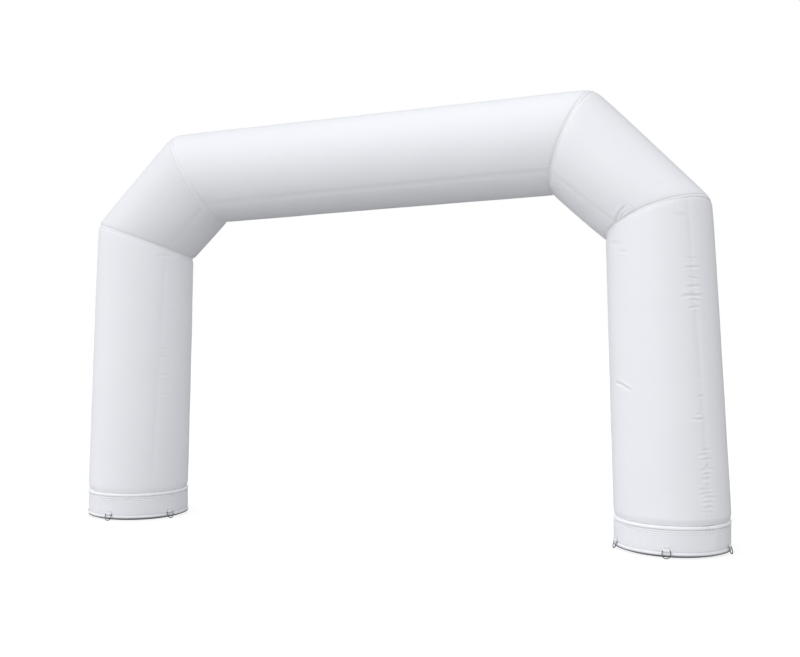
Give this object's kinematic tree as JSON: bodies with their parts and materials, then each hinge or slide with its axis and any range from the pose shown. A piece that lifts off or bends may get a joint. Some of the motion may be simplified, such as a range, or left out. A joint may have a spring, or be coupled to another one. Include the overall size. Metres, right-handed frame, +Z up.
{
  "type": "inflatable arch",
  "caption": "Free-standing inflatable arch of straight air-filled cloth tubes with mitred corners, on round foot bands with D-rings for guy lines.",
  "frame": {"origin": "middle of the whole arch on the ground", "axes": "+X along the arch towards its taller side, +Y from the front to the back, +Z up"},
  "size_m": [6.114, 1.1788, 3.8993],
  "materials": {
    "coated_cloth": "white coated cloth, satin",
    "binding_cloth": "white woven binding and corded piping",
    "webbing": "white ribbed webbing",
    "ground_cloth": "dark grey coated ground cloth",
    "ring_steel": "polished chrome plated wire"
  },
  "bodies": {
    "root": {"left_leg": "coated_cloth", "left_shoulder": "coated_cloth", "crossbeam": "coated_cloth", "right_shoulder": "coated_cloth", "right_leg": "coated_cloth", "left_knee_binding": "binding_cloth", "left_crown_binding": "binding_cloth", "right_crown_binding": "binding_cloth", "right_knee_binding": "binding_cloth", "left_foot_piping": "binding_cloth", "left_foot_band": "coated_cloth", "left_ground_panel": "ground_cloth", "left_tab_1": "webbing", "left_ring_1": "ring_steel", "left_tab_2": "webbing", "left_ring_2": "ring_steel", "left_tab_3": "webbing", "left_ring_3": "ring_steel", "left_tab_4": "webbing", "left_ring_4": "ring_steel", "left_tab_5": "webbing", "left_ring_5": "ring_steel", "right_foot_piping": "binding_cloth", "right_foot_band": "coated_cloth", "right_ground_panel": "ground_cloth", "right_tab_1": "webbing", "right_ring_1": "ring_steel", "right_tab_2": "webbing", "right_ring_2": "ring_steel", "right_tab_3": "webbing", "right_ring_3": "ring_steel", "right_tab_4": "webbing", "right_ring_4": "ring_steel", "right_tab_5": "webbing", "right_ring_5": "ring_steel"}
  },
  "joints": []
}
